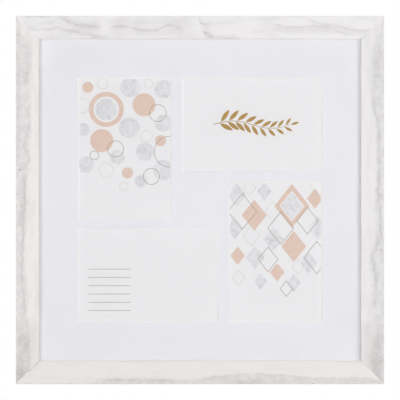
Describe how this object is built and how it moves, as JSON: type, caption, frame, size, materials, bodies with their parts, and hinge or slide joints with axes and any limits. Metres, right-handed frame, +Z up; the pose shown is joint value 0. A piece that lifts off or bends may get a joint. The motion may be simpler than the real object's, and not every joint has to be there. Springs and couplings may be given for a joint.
{
  "type": "collage photo frame",
  "caption": "Square wall frame with mitred marble-effect moulding, glass and a white mat whose windows show upright and lying prints in a pinwheel; turn buttons hold the back, rings hang it.",
  "frame": {"origin": "where the wall nail bears in the top hanger's ring, on the frame's upright centre line, level with the back of the moulding", "axes": "+X right as seen from the front, +Y back towards the wall, +Z up"},
  "size_m": [0.4, 0.0156, 0.4],
  "materials": {
    "moulding_foil": "satin marble-effect foil on MDF",
    "v_nail_steel": "bright",
    "glass": "clear",
    "mat_board": "matte",
    "print_paper": "matte",
    "hinge_tape": "matte",
    "backing_mdf": "raw",
    "button_steel": "zinc plated",
    "screw_steel": "zinc plated",
    "strap_steel": "zinc plated",
    "ring_wire": "nickel plated",
    "rivet_steel": "nickel plated"
  },
  "bodies": {
    "frame": {"top_rail": "moulding_foil", "bottom_rail": "moulding_foil", "left_rail": "moulding_foil", "right_rail": "moulding_foil", "corner_v_nails": "v_nail_steel", "glass_pane": "glass", "window_mat": "mat_board", "print_top_left": "print_paper", "print_top_right": "print_paper", "print_bottom_left": "print_paper", "print_bottom_right": "print_paper", "print_tapes": "hinge_tape", "backing_board": "backing_mdf", "hanger_strap_top": "strap_steel", "hanger_strap_side": "strap_steel", "hanger_rivets": "rivet_steel", "turn_button_screws": "screw_steel"},
    "turn_button_bottom_left": {"turn_button_bottom_left": "button_steel"},
    "turn_button_bottom_right": {"turn_button_bottom_right": "button_steel"},
    "turn_button_left_upper": {"turn_button_left_upper": "button_steel"},
    "turn_button_left_lower": {"turn_button_left_lower": "button_steel"},
    "turn_button_top_right": {"turn_button_top_right": "button_steel"},
    "turn_button_top_left": {"turn_button_top_left": "button_steel"},
    "turn_button_right_lower": {"turn_button_right_lower": "button_steel"},
    "turn_button_right_upper": {"turn_button_right_upper": "button_steel"},
    "hanger_ring_top": {"hanger_ring_top": "ring_wire"},
    "hanger_ring_side": {"hanger_ring_side": "ring_wire"}
  },
  "joints": [
    {"name": "turn_button_bottom_left_turn", "type": "hinge", "parent": "frame", "child": "turn_button_bottom_left", "pos_m": [-0.09, 0, -0.354], "axis": [0, 1, 0], "continuous": true},
    {"name": "turn_button_bottom_right_turn", "type": "hinge", "parent": "frame", "child": "turn_button_bottom_right", "pos_m": [0.09, 0, -0.354], "axis": [0, 1, 0], "continuous": true},
    {"name": "turn_button_left_upper_turn", "type": "hinge", "parent": "frame", "child": "turn_button_left_upper", "pos_m": [-0.189, 0, -0.075], "axis": [0, 1, 0], "continuous": true},
    {"name": "turn_button_left_lower_turn", "type": "hinge", "parent": "frame", "child": "turn_button_left_lower", "pos_m": [-0.189, 0, -0.255], "axis": [0, 1, 0], "continuous": true},
    {"name": "turn_button_top_right_turn", "type": "hinge", "parent": "frame", "child": "turn_button_top_right", "pos_m": [0.09, 0, 0.024], "axis": [0, 1, 0], "continuous": true},
    {"name": "turn_button_top_left_turn", "type": "hinge", "parent": "frame", "child": "turn_button_top_left", "pos_m": [-0.09, 0, 0.024], "axis": [0, 1, 0], "continuous": true},
    {"name": "turn_button_right_lower_turn", "type": "hinge", "parent": "frame", "child": "turn_button_right_lower", "pos_m": [0.189, 0, -0.255], "axis": [0, 1, 0], "continuous": true},
    {"name": "turn_button_right_upper_turn", "type": "hinge", "parent": "frame", "child": "turn_button_right_upper", "pos_m": [0.189, 0, -0.075], "axis": [0, 1, 0], "continuous": true},
    {"name": "hanger_ring_top_swing", "type": "hinge", "parent": "frame", "child": "hanger_ring_top", "pos_m": [0, 0.00168, -0.01544], "axis": [-1, 0, 0], "range_deg": [0, 170]},
    {"name": "hanger_ring_side_swing", "type": "hinge", "parent": "frame", "child": "hanger_ring_side", "pos_m": [0.14956, 0.00168, -0.165], "axis": [0, 0, 1], "range_deg": [0, 170]}
  ]
}
